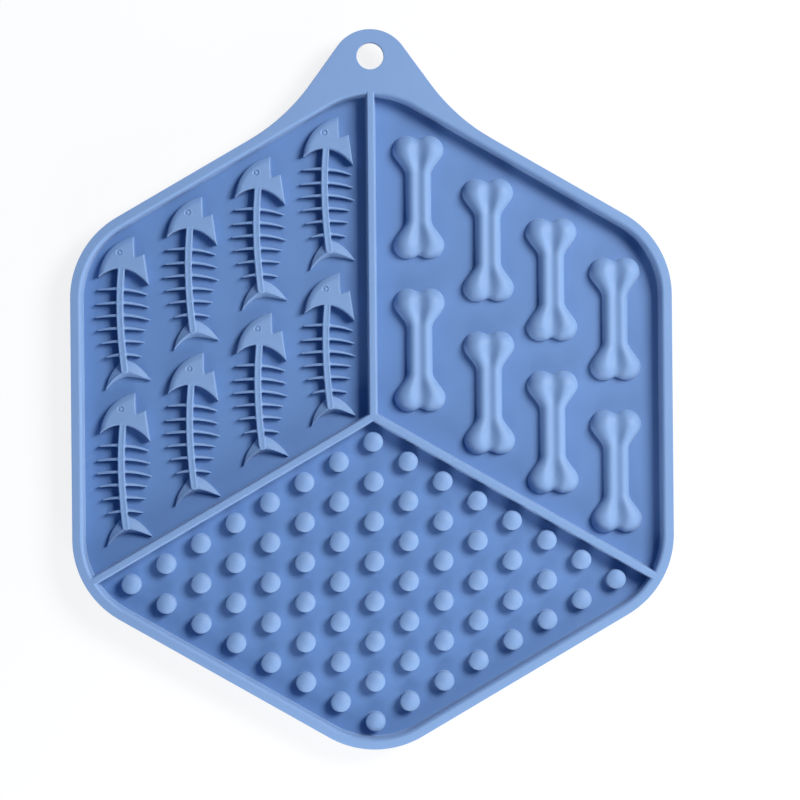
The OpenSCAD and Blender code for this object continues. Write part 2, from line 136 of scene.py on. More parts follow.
# ---- Silicone -------------------------------------------------------------------------------

def hex_colour(text):
    """An sRGB hex colour as the linear colour that the shader takes."""
    parts = [int(text[i:i + 2], 16) / 255 for i in (1, 3, 5)]
    return [c / 12.92 if c <= 0.04045 else ((c + 0.055) / 1.055) ** 2.4 for c in parts] + [1.0]


def add_node(owner, kind, links=(), **settings):
    """Adds a node with its settings; links are (its input, the other node, that one's output)."""
    node = owner.node_tree.nodes.new(kind)
    for key, value in settings.items():
        if key.startswith("in_"):
            node.inputs[key[3:].replace("_", " ")].default_value = value
        else:
            setattr(node, key, value)
    for socket, other, output in links:
        owner.node_tree.links.new(node.inputs[socket], other.outputs[output])
    return node


def moulded_silicone(name, colour, paler, shine, smooth, rough):
    """Silicone rubber with pigment milled in, pressed in a bead-blasted steel mould. It has the
    soft satin skin of the blasting, a faint bloom on it, and light goes a little way into it."""
    material = bpy.data.materials.new(name)
    material.use_nodes = True
    material.node_tree.nodes.clear()
    place = add_node(material, "ShaderNodeTexCoord")
    # Pigment streaks about 12 mm across
    streaks = add_node(material, "ShaderNodeTexNoise", [("Vector", place, "Object")],
                       in_Scale=1 / (12 * MM), in_Detail=3.0, in_Roughness=0.55)
    tint = add_node(material, "ShaderNodeMix", [("Factor", streaks, "Fac")], data_type="RGBA",
                    in_A=hex_colour(colour), in_B=hex_colour(paler))
    # Skin of the blasted mould: grains of 0.1 mm, drawn 0.35 mm across so that they show
    grain = add_node(material, "ShaderNodeTexNoise", [("Vector", place, "Object")],
                     in_Scale=1 / (0.35 * MM), in_Detail=2.0, in_Roughness=0.6)
    bump = add_node(material, "ShaderNodeBump", [("Height", grain, "Fac")],
                    in_Strength=0.25, in_Distance=0.02 * MM)
    satin = add_node(material, "ShaderNodeMapRange", [("Value", grain, "Fac")],
                     in_To_Min=smooth, in_To_Max=rough)
    rubber = add_node(material, "ShaderNodeBsdfPrincipled",
                      [("Base Color", tint, "Result"), ("Normal", bump, "Normal"),
                       ("Roughness", satin, "Result")],
                      in_IOR=1.41, in_Specular_IOR_Level=shine, in_Subsurface_Weight=0.12,
                      in_Subsurface_Radius=(0.6, 0.8, 1.0), in_Subsurface_Scale=0.8 * MM,
                      in_Sheen_Weight=0.1, in_Sheen_Roughness=0.6)
    add_node(material, "ShaderNodeOutputMaterial", [("Surface", rubber, "BSDF")])
    return material


# Every part but the floor is given a paler blue. This is a painted highlight for the extra light
# that the raised tops catch.
silicone = moulded_silicone("blue_silicone", "#7594bd", "#7998c0", 0.6, 0.54, 0.62)
# The floor is given a deeper blue. This is painted shade for the light that the walls and raised
# forms keep off it.
floor_silicone_painted_shade = moulded_silicone("floor_blue_silicone_painted_shade", "#567cb0", "#5a80b3", 1.0, 0.52, 0.6)


# ---- Building in mesh -----------------------------------------------------------------------

def make_mesh(name, points, faces, crease=35.0, finish=silicone):
    """A closed mesh from points in millimetres, with sharp edges where it turns by over crease."""
    mesh = bpy.data.meshes.new(name)
    mesh.from_pydata([Vector(p) * MM for p in points], [], [list(f) for f in faces])
    bm = bmesh.new()
    bm.from_mesh(mesh)
    bmesh.ops.recalc_face_normals(bm, faces=bm.faces)
    bm.to_mesh(mesh)
    bm.free()
    mesh.shade_smooth()
    mesh.set_sharp_from_angle(angle=math.radians(crease))
    mesh.materials.append(finish)
    return mesh


def set_piece(name, mesh, node, place=(0, 0, 0)):
    """Puts a mesh on the mat, in the place of the CAD node that it stands for."""
    piece = bpy.data.objects.new(name, mesh)
    piece.location = Vector(place) * MM
    bpy.context.collection.objects.link(piece)
    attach(piece, "root")
    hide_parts(node)
    return piece


def keep_flats_flat(piece):
    """Keeps the big flat faces looking flat beside small rounded edges."""
    flats = piece.modifiers.new("keep flats flat", "WEIGHTED_NORMAL")
    flats.keep_sharp = True


def with_fewer_faces(mesh, share):
    """The same shape with a share of the faces, fewest where it is flat."""
    holder = bpy.data.objects.new("holder", mesh)
    bpy.context.collection.objects.link(holder)
    fewer = holder.modifiers.new("fewer faces on the flats", "DECIMATE")
    fewer.ratio = share
    ready = holder.evaluated_get(bpy.context.evaluated_depsgraph_get())
    lighter = bpy.data.meshes.new_from_object(ready)
    bpy.data.objects.remove(holder)
    return lighter


def hexagon(inset, steps=24):
    """The mat's outline, moved inwards by an inset."""
    points = []
    for k in range(6):
        a = TOP_CORNER + 60 * k
        centre = polar(CORNER_DIST, a) + (0, MAT_Y)
        points += arc(centre, CORNER_R - inset, a - 30, a + 30, steps)
    return points


def rings(loops, capped=False, closed=False):
    """Points and faces that join loops of the same number of points, one after another. The
    first and last loops are capped, or joined too where the section is closed."""
    n = len(loops[0])
    points = [p for loop in loops for p in loop]
    faces = []
    pairs = [(i, i + 1) for i in range(len(loops) - 1)]
    if closed:
        pairs.append((len(loops) - 1, 0))
    for a, b in pairs:
        faces += [(a * n + j, a * n + (j + 1) % n, b * n + (j + 1) % n, b * n + j)
                  for j in range(n)]
    if capped:
        faces += [tuple(range(n)), tuple(range((len(loops) - 1) * n, len(loops) * n))]
    return points, faces


def turned(section, steps):
    """A turned solid from its section, which starts and ends on the axis."""
    points = [(0.0, 0.0, section[0][1])]
    rims = section[1:-1]
    for r, z in rims:
        points += [(*polar(r, 360 * k / steps), z) for k in range(steps)]
    points.append((0.0, 0.0, section[-1][1]))
    last = len(points) - 1
    faces = [(0, 1 + (k + 1) % steps, 1 + k) for k in range(steps)]
    for i in range(len(rims) - 1):
        a, b = 1 + i * steps, 1 + (i + 1) * steps
        faces += [(a + k, a + (k + 1) % steps, b + (k + 1) % steps, b + k) for k in range(steps)]
    end = 1 + (len(rims) - 1) * steps
    faces += [(last, end + k, end + (k + 1) % steps) for k in range(steps)]
    return points, faces


def repeated(points, faces, places):
    """The same solid at several places."""
    every_point, every_face = [], []
    for x, y, z in places:
        start = len(every_point)
        every_point += [(p[0] + x, p[1] + y, p[2] + z) for p in points]
        every_face += [tuple(start + i for i in f) for f in faces]
    return every_point, every_face


# ---- Floor, rim, dividers and tab -----------------------------------------------------------

def build_floor():
    """The floor sheet, with its lower edge just rounded."""
    section = [(FLOOR_EDGE_R - p[0], SHEET_Z + FLOOR_EDGE_R + p[1])
               for p in arc((0, 0), FLOOR_EDGE_R, 270, 360, 4)]
    section = [(FLOOR_EDGE_R, SHEET_Z)] + section[1:] + [(0.0, FIELD_Z)]
    loops = [[(*p, z) for p in hexagon(d)] for d, z in section]
    # The floor sheet takes the deeper blue of painted shade.
    mesh = make_mesh("floor_sheet", *rings(loops, capped=True), finish=floor_silicone_painted_shade)
    keep_flats_flat(set_piece("floor_sheet", mesh, "mat_floor"))


def build_rim():
    """The rim, square outside, with a rounded top edge and a leaning face inside."""
    top_inset = RIM_W - RIM_EDGE_R
    foot = top_inset + RIM_EDGE_R + (RIM_H - RIM_EDGE_R) * LEAN
    edge = arc((top_inset, TOP_Z - RIM_EDGE_R), RIM_EDGE_R, 90, DRAFT, 10)
    fillet = arc((foot + FOOT_R, FIELD_Z + FOOT_R), FOOT_R, 180, 270, 5)
    section = [(0.0, FIELD_Z), (0.0, TOP_Z)] + edge + fillet
    loops = [[(*p, z) for p in hexagon(d)] for d, z in section]
    mesh = make_mesh("rim_wall", *rings(loops, closed=True))
    keep_flats_flat(set_piece("rim_wall", mesh, "rim"))


def build_divider(name, angle):
    """A divider from the mitre in the middle to the flat of the rim at a corner."""
    half = DIVIDER_W / 2
    foot = half + (RIM_H - DIVIDER_EDGE_R) * LEAN
    fillet = arc((foot + FOOT_R, FIELD_Z + FOOT_R), FOOT_R, 270, 180, 5)
    edge = arc((half - DIVIDER_EDGE_R, TOP_Z - DIVIDER_EDGE_R), DIVIDER_EDGE_R, DRAFT, 90, 8)
    right = [tuple(p) for p in fillet + edge]
    section = right + [(0.0, TOP_Z)] + [(-x, z) for x, z in reversed(right)] + [(0.0, FIELD_Z)]
    end_r = CORNER_R - RIM_W + RIM_EDGE_R
    along, across = polar(1, angle), polar(1, angle - 90)
    middle = np.array([0, MAT_Y])
    inner = [(*(middle + across * s + along * abs(s) / math.tan(math.radians(60))), z)
             for s, z in section]
    outer = [(*(middle + across * s + along * (CORNER_DIST + math.sqrt(end_r ** 2 - s * s))), z)
             for s, z in section]
    points, faces = rings([inner, outer])
    # Each end is two flat faces, which meet at the divider's middle
    n, top = len(section), len(right)
    for start in (0, n):
        faces.append(tuple(range(start, start + top + 1)) + (start + n - 1,))
        faces.append(tuple(range(start + top, start + n)))
    keep_flats_flat(set_piece(name + "_wall", make_mesh(name, points, faces), name))


def tab_outline():
    """The tab's free edge, from where it leaves the mat on the right, round its tip to the left."""
    vertex = np.array([0, VERTEX_DIST])
    turn = 60 - TAB_FLANK_LEAN
    meet = vertex + polar(TAB_END_R / math.sin(math.radians(turn)), -30)
    reach = TAB_BLEND_R * math.tan(math.radians(turn / 2))
    start = meet + polar(reach, TAB_FLANK_LEAN + 90)
    centre = start + polar(TAB_BLEND_R, TAB_FLANK_LEAN)
    blend_arc = arc(centre, TAB_BLEND_R, 180 + TAB_FLANK_LEAN, 240, 24)
    tip_arc = arc(vertex, TAB_END_R, TAB_FLANK_LEAN, 90, 24)
    right = blend_arc[::-1] + tip_arc
    return [p + (0, MAT_Y) for p in right] + [p * (-1, 1) + (0, MAT_Y) for p in right[-2::-1]]


def build_tab():
    """The tab, with the edges of its free side and of its hole just rounded."""
    free_edge = tab_outline()
    seat = arc(polar(CORNER_DIST, 90) + (0, MAT_Y), CORNER_R, 120, 60, 24)
    inwards = [np.zeros(2)]
    for before, after in zip(free_edge[:-2], free_edge[2:]):
        ahead = (after - before) / np.linalg.norm(after - before)
        inwards.append(np.array([-ahead[1], ahead[0]]))
    inwards += [np.zeros(2)] * (1 + len(seat))
    centre = np.array([0, VERTEX_DIST + HOLE_RISE + MAT_Y])
    hole = arc(centre, HOLE_D / 2, 0, 360, 48)[:-1]
    outwards = [(p - centre) / (HOLE_D / 2) for p in hole]
    bottom = arc((TAB_EDGE_R, TOP_Z - TAB_T + TAB_EDGE_R), TAB_EDGE_R, 270, 180, 4)
    section = bottom + arc((TAB_EDGE_R, TOP_Z - TAB_EDGE_R), TAB_EDGE_R, 180, 90, 4)
    points, faces, walls = [], [], []
    for line, away in ((free_edge + seat, inwards), (hole, outwards)):
        loops = [[(*(p + a * d), z) for p, a in zip(line, away)] for d, z in section]
        more, sides = rings(loops)
        faces += [tuple(len(points) + i for i in f) for f in sides]
        walls.append((len(points), len(line), loops))
        points += more
    # The flat below and the one on top, each between the outline and the hole
    for level in (0, len(section) - 1):
        outlines = [[Vector((x, y, 0)) for x, y, z in loops[level]] for start, n, loops in walls]
        number = [start + level * n + i for start, n, loops in walls for i in range(n)]
        faces += [tuple(number[i] for i in cell) for cell in tessellate_polygon(outlines)]
    mesh = make_mesh("hanging_tab", points, faces)
    keep_flats_flat(set_piece("hanging_tab_flat", mesh, "hanging_tab"))


# ---- Places in the fields -------------------------------------------------------------------

RIM_FOOT_W = RIM_W + (RIM_H - RIM_EDGE_R) * LEAN
DIVIDER_INSET = DIVIDER_W / 2 / COS30
RIM_INSET = RIM_FOOT_W / COS30


def in_field(a, a_corner, b, b_corner):
    """A place in the field between two dividers, from how far it is along each of them."""
    p = polar(a, a_corner) + polar(b, b_corner)
    return (p[0], p[1] + MAT_Y, FIELD_Z)


def lengthways(foot_gap, head_gap, end_gap):
    """The length of each of the two shapes in a column, and where the lower one's middle is."""
    room = VERTEX_DIST - DIVIDER_INSET - RIM_INSET - foot_gap - head_gap
    length = (room - end_gap) / 2
    return length, DIVIDER_INSET + foot_gap + length / 2


FISH_LEN, FISH_LOW = lengthways(FISH_FOOT_GAP, FISH_HEAD_GAP, FISH_END_GAP)
FISH_INSET = (FISH_WALL_GAP + FISH_W / 2) / COS30
FISH_FIRST = DIVIDER_INSET + FISH_INSET
FISH_PITCH = (VERTEX_DIST - RIM_INSET - FISH_INSET - FISH_FIRST) / (COLUMNS - 1)

BONE_LEN, BONE_LOW = lengthways(BONE_FOOT_GAP, BONE_HEAD_GAP, BONE_END_GAP)
BONE_INSET = (BONE_WALL_GAP + BONE_W / 2) / COS30
BONE_FIRST = DIVIDER_INSET + BONE_INSET
BONE_PITCH = (VERTEX_DIST - RIM_INSET - BONE_INSET - BONE_FIRST - BONE_FIRST_GAP) / (COLUMNS - 1)

NUB_FIRST = DIVIDER_INSET + (NUB_DIVIDER_GAP + NUB_D / 2) / COS30
NUB_LAST = VERTEX_DIST - RIM_INSET - (NUB_RIM_GAP + NUB_D / 2) / COS30
NUB_PITCH = (NUB_LAST - NUB_FIRST) / (NUBS_IN_ROW - 1)


# ---- Fishbones ------------------------------------------------------------------------------

# Heights above the floor and roundings. The outlines are true at FISH_TRUE_H, and the walls lean
# with the draft above and below it.
FISH_TRUE_H = 1.8
FISH_EDGE_R = 0.3
HEAD_H, NOSE_FALL, HEAD_LEVEL_SHARE = 3.6, 1.2, 0.3
BACK_FALL, BACK_ROUND_W = 0.9, 2.0
EYE_RING_R, EYE_RING_W, EYE_RING_H = 1.3, 0.22, 0.05
EYE_GROOVE_R, EYE_GROOVE_W, EYE_GROOVE_D = 0.72, 0.2, 0.3
SPINE_H, SPINE_HALF_W, SPINE_FILLET = 3.4, 1.15, 0.4
DISH_D, DISH_HALF_W, DISH_EDGE = 0.1, 0.2, 0.9
RIB_H, RIB_FALL, RIB_HALF_W, RIB_TAPER, RIB_FILLET = 3.1, 1.3, 0.475, 0.65, 0.6
TAIL_H, TAIL_LOW_H, TAIL_SLOPE, TAIL_EDGE_R, TAIL_FILLET = 3.1, 1.4, 0.62, 0.2, 0.4
CREST_H, CREST_W, HOLLOW_LEAN = 0.12, 0.45, 1.3


def on_fish(across, along):
    """A point on the fishbone from its shares of the width and the length."""
    return np.array([across * FISH_W, along * FISH_LEN])


NOSE = on_fish(0.206, 0.5)
BACK_BEND, LEFT_GILL = on_fish(-0.366, 0.452), on_fish(-0.445, 0.237)
GILL_BEND, RIGHT_GILL = on_fish(0.04, 0.367), on_fish(0.476, 0.185)
JAW, MOUTH, LIP = on_fish(0.396, 0.384), on_fish(0.228, 0.362), on_fish(0.219, 0.378)
EYE = on_fish(-0.055, 0.395)
SPINE = bend(on_fish(-0.019, 0.3), on_fish(-0.108, 0.002), on_fish(0.019, -0.375))

# Each rib: where along the fishbone it leaves the spine, and its tip
RIBS = [(0.161, (-0.446, 0.154)), (0.069, (-0.483, 0.059)), (-0.014, (-0.5, -0.026)),
        (-0.098, (-0.459, -0.111)), (-0.183, (-0.394, -0.196)), (-0.27, (-0.304, -0.286)),
        (0.156, (0.441, 0.121)), (0.07, (0.458, 0.039)), (-0.011, (0.486, -0.045)),
        (-0.096, (0.398, -0.112)), (-0.179, (0.371, -0.191)), (-0.266, (0.321, -0.283))]

LEFT_FIN = bend(on_fish(-0.07, -0.325), on_fish(-0.295, -0.405), on_fish(-0.325, -0.5))
HOLLOW_LEFT = bend(on_fish(-0.325, -0.5), on_fish(-0.19, -0.41), on_fish(0.041, -0.391))
HOLLOW_RIGHT = bend(on_fish(0.041, -0.391), on_fish(0.261, -0.392), on_fish(0.5, -0.44))
RIGHT_FIN = bend(on_fish(0.5, -0.44), on_fish(0.281, -0.328), on_fish(0.066, -0.31))


def to_line(x, y, line):
    """Distance from points to a line of points."""
    best = np.full(x.shape, np.inf)
    for a, b in zip(line[:-1], line[1:]):
        e = b - a
        t = np.clip(((x - a[0]) * e[0] + (y - a[1]) * e[1]) / (e @ e), 0, 1)
        best = np.minimum(best, np.hypot(x - a[0] - t * e[0], y - a[1] - t * e[1]))
    return best


def to_outline(x, y, outline):
    """Distance from points to a closed outline, less than zero inside it."""
    closed = outline + outline[:1]
    inside = np.zeros(x.shape, bool)
    for a, b in zip(closed[:-1], closed[1:]):
        if a[1] != b[1]:
            across = x < a[0] + (y - a[1]) * (b[0] - a[0]) / (b[1] - a[1])
            inside ^= ((a[1] > y) != (b[1] > y)) & across
    return np.where(inside, -1, 1) * to_line(x, y, closed)


def to_solid(side, over_top, edge_r):
    """Distance to a solid from the distances to its side and its top, its edge rounded."""
    a, b = side + edge_r, over_top + edge_r
    return np.minimum(np.maximum(a, b), 0) + np.hypot(np.maximum(a, 0), np.maximum(b, 0)) - edge_r


def join(a, b, fillet):
    """Distance to two solids joined with a fillet between them."""
    near = np.maximum(fillet - np.abs(a - b), 0) / fillet
    return np.minimum(a, b) - near * near * fillet / 4


def hump(distance, width):
    """A soft hump, 1 high at no distance."""
    return np.exp(-(distance / width) ** 2)


def spine_at(y):
    """How far across the spine is at a place along the fishbone."""
    return np.interp(-y, [-p[1] for p in SPINE], [p[0] for p in SPINE])


def through_height(plan):
    """Values of the plan, set to meet every height of the block."""
    return plan[:, :, None]


def head_plan(fx, fy):
    """The head's outline and its top, which falls to the nose and is rounded off along its back."""
    back = bend(NOSE, BACK_BEND, LEFT_GILL)
    outline = back + bend(LEFT_GILL, GILL_BEND, RIGHT_GILL)[1:] + [JAW, MOUTH, LIP]
    level = HEAD_LEVEL_SHARE * FISH_LEN
    top = HEAD_H - NOSE_FALL * np.clip((fy - level) / (0.5 * FISH_LEN - level), 0, 1)
    top -= BACK_FALL * np.clip(1 - to_line(fx, fy, back) / BACK_ROUND_W, 0, 1) ** 2
    from_eye = np.hypot(fx - EYE[0], fy - EYE[1])
    top += EYE_RING_H * hump(from_eye - EYE_RING_R, EYE_RING_W)
    top -= EYE_GROOVE_D * hump(from_eye - EYE_GROOVE_R, EYE_GROOVE_W)
    return to_outline(fx, fy, outline), top


def fish_distance(x, y, z):
    """Distance from every point of a block to the fishbone, less than zero inside it."""
    fx, fy = x[:, :, 0], y[:, :, 0]
    draft = (z - FISH_TRUE_H) * LEAN

    def form(side, top):
        """Distance to a form that stands on the floor, from its outline and its top."""
        return to_solid(through_height(side) + draft, z - through_height(top), FISH_EDGE_R)

    body = form(*head_plan(fx, fy))

    # The spine is dished along its middle
    from_spine = to_line(fx, fy, SPINE)
    spine_top = SPINE_H - DISH_D * (1 - rise(from_spine, DISH_HALF_W, DISH_EDGE))
    body = join(body, form(from_spine - SPINE_HALF_W, spine_top), SPINE_FILLET)

    # The ribs droop towards the tail, and taper and fall to their tips
    outwards = (np.abs(fx - spine_at(fy)) - SPINE_HALF_W) / (FISH_W / 2 - SPINE_HALF_W)
    rib_top = RIB_H - RIB_FALL * np.clip(outwards, 0, 1)
    for root_share, tip in RIBS:
        root = np.array([spine_at(root_share * FISH_LEN), root_share * FISH_LEN])
        tip = on_fish(*tip)
        line = bend(root, ((root[0] + tip[0]) / 2, root[1]), tip, 12)
        along = np.clip((fx - root[0]) / (tip[0] - root[0]), 0, 1)
        half_w = RIB_HALF_W * (1 - RIB_TAPER * along ** 2)
        body = join(body, form(to_line(fx, fy, line) - half_w, rib_top), RIB_FILLET)

    # The tail rises from its outer edges to the crest of its hollow, whose wall leans out below
    hollow = HOLLOW_LEFT + HOLLOW_RIGHT[1:]
    spread = np.sin(np.linspace(0, math.pi, len(hollow)))
    foot = [p - (0, HOLLOW_LEAN * k) for p, k in zip(hollow, spread)]
    at_crest = to_outline(fx, fy, LEFT_FIN + hollow[1:] + RIGHT_FIN[1:])
    at_foot = to_outline(fx, fy, LEFT_FIN + foot[1:] + RIGHT_FIN[1:])
    outer = np.minimum(to_line(fx, fy, LEFT_FIN), to_line(fx, fy, RIGHT_FIN))
    fin_top = np.minimum(TAIL_LOW_H + TAIL_SLOPE * outer, TAIL_H)
    fin_top += CREST_H * hump(to_line(fx, fy, hollow), CREST_W)
    up = np.clip(z / TAIL_H, 0, 1)
    side = through_height(at_foot) * (1 - up) + through_height(at_crest) * up + draft
    tail = to_solid(side, z - through_height(fin_top), TAIL_EDGE_R)
    body = join(body, tail, TAIL_FILLET)
    return np.maximum(body, -z)


def skin(values, corner, cell):
    """The surface where a block of distances passes zero, with a point in each cell it crosses."""
    shape = tuple(n - 1 for n in values.shape)
    total, count = np.zeros(shape + (3,)), np.zeros(shape)
    index = np.stack(np.meshgrid(*(np.arange(n) for n in shape), indexing="ij"), -1)

    def part(offset):
        return values[tuple(slice(o, o + n) for o, n in zip(offset, shape))]

    for axis in range(3):
        for i in (0, 1):
            for j in (0, 1):
                low = [0, 0, 0]
                low[(axis + 1) % 3], low[(axis + 2) % 3] = i, j
                high = list(low)
                high[axis] = 1
                a, b = part(low), part(high)
                crossed = (a < 0) != (b < 0)
                t = np.where(crossed, a / np.where(crossed, a - b, 1), 0)
                for k in range(3):
                    total[..., k] += crossed * (t if k == axis else low[k])
                count += crossed
    live = count > 0
    number = np.full(shape, -1)
    number[live] = np.arange(live.sum())
    points = (index[live] + total[live] / count[live][:, None]) * cell + corner

    faces = []
    for axis in range(3):
        u, v = (axis + 1) % 3, (axis + 2) % 3
        a = values[tuple(slice(0, -1) if k == axis else slice(1, -1) for k in range(3))]
        b = values[tuple(slice(1, None) if k == axis else slice(1, -1) for k in range(3))]
        for flip in (False, True):
            hit = np.argwhere(((a < 0) & (b >= 0)) if not flip else ((a >= 0) & (b < 0)))
            cells = []
            for du, dv in ((0, 0), (1, 0), (1, 1), (0, 1)):
                at = hit.copy()
                at[:, u] += du
                at[:, v] += dv
                cells.append(number[tuple(at.T)])
            faces.append(np.stack(cells[::-1] if flip else cells, 1))
    return points, np.concatenate(faces)


def build_fishbones():
    """One fishbone in a block of distances around it, set eight times."""
    cell = 0.125
    half_x, half_y = FISH_W / 2 + 1.2, FISH_LEN / 2 + 2.4
    axes = [np.arange(-half_x, half_x, cell), np.arange(-half_y, half_y, cell),
            np.arange(-2.5 * cell, 4.2, cell)]
    x, y, z = np.meshgrid(*axes, indexing="ij")
    points, faces = skin(fish_distance(x, y, z), [a[0] for a in axes], cell)
    points[:, 2] = np.maximum(points[:, 2], 0)
    points[:, 0] = np.clip(points[:, 0], -FISH_W / 2, FISH_W / 2)
    mesh = with_fewer_faces(make_mesh("fishbone", points, faces, crease=50), 0.3)
    for number in range(1, SHAPES + 1):
        row, column = divmod(number - 1, COLUMNS)
        up = FISH_LOW + (1 - row) * (FISH_LEN + FISH_END_GAP)
        out = FISH_FIRST + (COLUMNS - 1 - column) * FISH_PITCH
        place = in_field(up, TOP_CORNER, out, LEFT_CORNER)
        set_piece(f"fishbone_relief_{number}", mesh, f"fishbone_{number}", place)


# ---- Bones ----------------------------------------------------------------------------------

# Shares of the way from a bone's middle to its end, then of its width, its height and its groove
NECK, PIT, KNOB_WIDE, KNOB_HIGH = 0.36, 0.62, 0.76, 0.75
SHAFT_W_SHARE, END_W_SHARE, SHAFT_H_SHARE = 0.5, 0.45, 0.76
SHAFT_GROOVE_SHARE, END_GROOVE_SHARE = 0.3, 0.6
RIDGE_SHARE, NOTCH_REACH_SHARE, NOTCH_START = 0.45, 0.22, 6


def quarter_round(share):
    """The height of a quarter circle, 1 at no share and 0 at the whole."""
    return math.sqrt(max(0, 1 - share ** 2))


def bone_point(along, across):
    """A point of a bone's top at a share along it and a share across it."""
    side = -1 if along < 0.5 else 1
    u = math.sin(math.pi / 2 * abs(2 * along - 1))
    v = math.sin(math.pi * across - math.pi / 2)
    half_w = BONE_W / 2
    if u > KNOB_WIDE:
        end = quarter_round((u - KNOB_WIDE) / (1 - KNOB_WIDE))
        width = END_W_SHARE + (1 - END_W_SHARE) * end
    else:
        width = SHAFT_W_SHARE + (1 - SHAFT_W_SHARE) * rise(u, NECK, KNOB_WIDE)
    if u > KNOB_HIGH:
        height = quarter_round((u - KNOB_HIGH) / (1 - KNOB_HIGH))
    else:
        height = SHAFT_H_SHARE + (1 - SHAFT_H_SHARE) * rise(u, NECK, KNOB_HIGH)
    if u < PIT:
        depth = SHAFT_GROOVE_SHARE + (1 - SHAFT_GROOVE_SHARE) * rise(u, NECK, PIT)
    else:
        depth = 1 - (1 - END_GROOVE_SHARE) * rise(u, PIT, 1)
    if abs(v) < RIDGE_SHARE:
        groove = BONE_GROOVE * height * depth
        z = BONE_H * height - groove * (1 + math.cos(math.pi * v / RIDGE_SHARE)) / 2
    else:
        z = BONE_H * height * quarter_round((abs(v) - RIDGE_SHARE) / (1 - RIDGE_SHARE))
    x = half_w * width * v
    notch = BONE_NOTCH * math.exp(-(x / (NOTCH_REACH_SHARE * half_w)) ** 2) * u ** NOTCH_START
    on_foot = along in (0, 1) or across in (0, 1)
    return (x, side * (u * BONE_LEN / 2 - notch), 0.0 if on_foot else z)


def build_bones():
    """One bone, of two strands with a groove between them, set eight times."""
    stations, strips = 96, 48
    points = [bone_point(i / stations, j / strips)
              for i in range(stations + 1) for j in range(strips + 1)]
    row = strips + 1
    last = stations * row
    faces = [(i * row + j, (i + 1) * row + j, (i + 1) * row + j + 1, i * row + j + 1)
             for i in range(stations) for j in range(strips)]
    foot = [i * row for i in range(stations + 1)] + [last + j for j in range(1, strips + 1)]
    foot += [i * row + strips for i in range(stations - 1, -1, -1)]
    foot += [j for j in range(strips - 1, 0, -1)]
    faces.append(tuple(foot))
    mesh = make_mesh("bone", points, faces, crease=60)
    for number in range(1, SHAPES + 1):
        line, column = divmod(number - 1, COLUMNS)
        up = BONE_LOW + (1 - line) * (BONE_LEN + BONE_END_GAP) - column * BONE_COLUMN_DROP
        out = BONE_FIRST + column * BONE_PITCH + (BONE_FIRST_GAP if column else 0)
        place = in_field(up, TOP_CORNER, out, RIGHT_CORNER)
        set_piece(f"bone_relief_{number}", mesh, f"bone_{number}", place)


# ---- Nubs and suction cups ------------------------------------------------------------------

def build_nubs():
    """The rows of nubs, each a post with a domed top."""
    r = NUB_D / 2
    fillet = arc((r + FOOT_R, FOOT_R), FOOT_R, 270, 180, 5)
    dome_r = (r * r + NUB_CROWN * NUB_CROWN) / (2 * NUB_CROWN)
    # The dome's edge is rounded: the round touches the post's side and the dome from inside
    edge_x = r - NUB_EDGE_R
    edge_z = NUB_H - dome_r + math.sqrt((dome_r - NUB_EDGE_R) ** 2 - edge_x ** 2)
    turn = math.degrees(math.atan2(edge_z - NUB_H + dome_r, edge_x))
    edge = arc((edge_x, edge_z), NUB_EDGE_R, 0, turn, 5)
    dome = arc((0, NUB_H - dome_r), dome_r, turn, 90, 9)
    section = [(0, 0)] + fillet + edge + dome[1:-1] + [(0, NUB_H)]
    points, faces = turned(section, 40)
    for number in range(1, NUB_ROWS + 1):
        out = NUB_FIRST + (number - 1) * NUB_PITCH
        places = [in_field(NUB_FIRST + i * NUB_PITCH, LEFT_CORNER, out, RIGHT_CORNER)
                  for i in range(NUBS_IN_ROW)]
        mesh = make_mesh(f"nub_row_{number}", *repeated(points, faces, places), crease=60)
        set_piece(f"nubs_{number}", mesh, f"nub_row_{number}")


def build_cups():
    """The suction cups underneath: one in the middle and two rings round it."""
    lip, neck = CUP_D / 2, CUP_NECK_D / 2
    hollow_r = lip - CUP_LIP_W
    inside = bend((0, CUP_HOLLOW), (hollow_r / 2, CUP_HOLLOW), (hollow_r, 0.0), 16)
    outside = bend((lip, CUP_LIP_W), (neck, CUP_LIP_W), (neck, CUP_H), 16)
    section = inside + [(lip - CUP_LIP_R, 0.0), (lip, CUP_LIP_R)] + outside + [(0, CUP_H)]
    points, faces = turned(section, 56)
    pitch = (CORNER_TIP - CUP_EDGE_GAP - lip) / 2
    groups = {"suction_cup_middle": [(0.0, MAT_Y, 0.0)]}
    for ring, name in ((1, "suction_cups_inner"), (2, "suction_cups_outer")):
        groups[name] = []
        for k in range(6):
            for i in range(ring):
                p = polar(ring * pitch, 90 + 60 * k) + polar(i * pitch, 90 + 60 * (k + 2))
                groups[name].append((p[0], p[1] + MAT_Y, 0.0))
    for name, places in groups.items():
        mesh = make_mesh(name, *repeated(points, faces, places), crease=40)
        set_piece(name + "_moulded", mesh, name)


build_floor()
build_rim()
build_divider("divider_top", TOP_CORNER)
build_divider("divider_left", LEFT_CORNER)
build_divider("divider_right", RIGHT_CORNER)
build_tab()
build_fishbones()
build_bones()
build_nubs()
build_cups()


# ---- Table, lamps and camera ----------------------------------------------------------------

TABLE_HALF_W, TABLE_T = 1500.0, 20.0
# Share of plain white in what the camera sees of the table; the rest takes the mat's shadow
TABLE_GLOW = 0.85


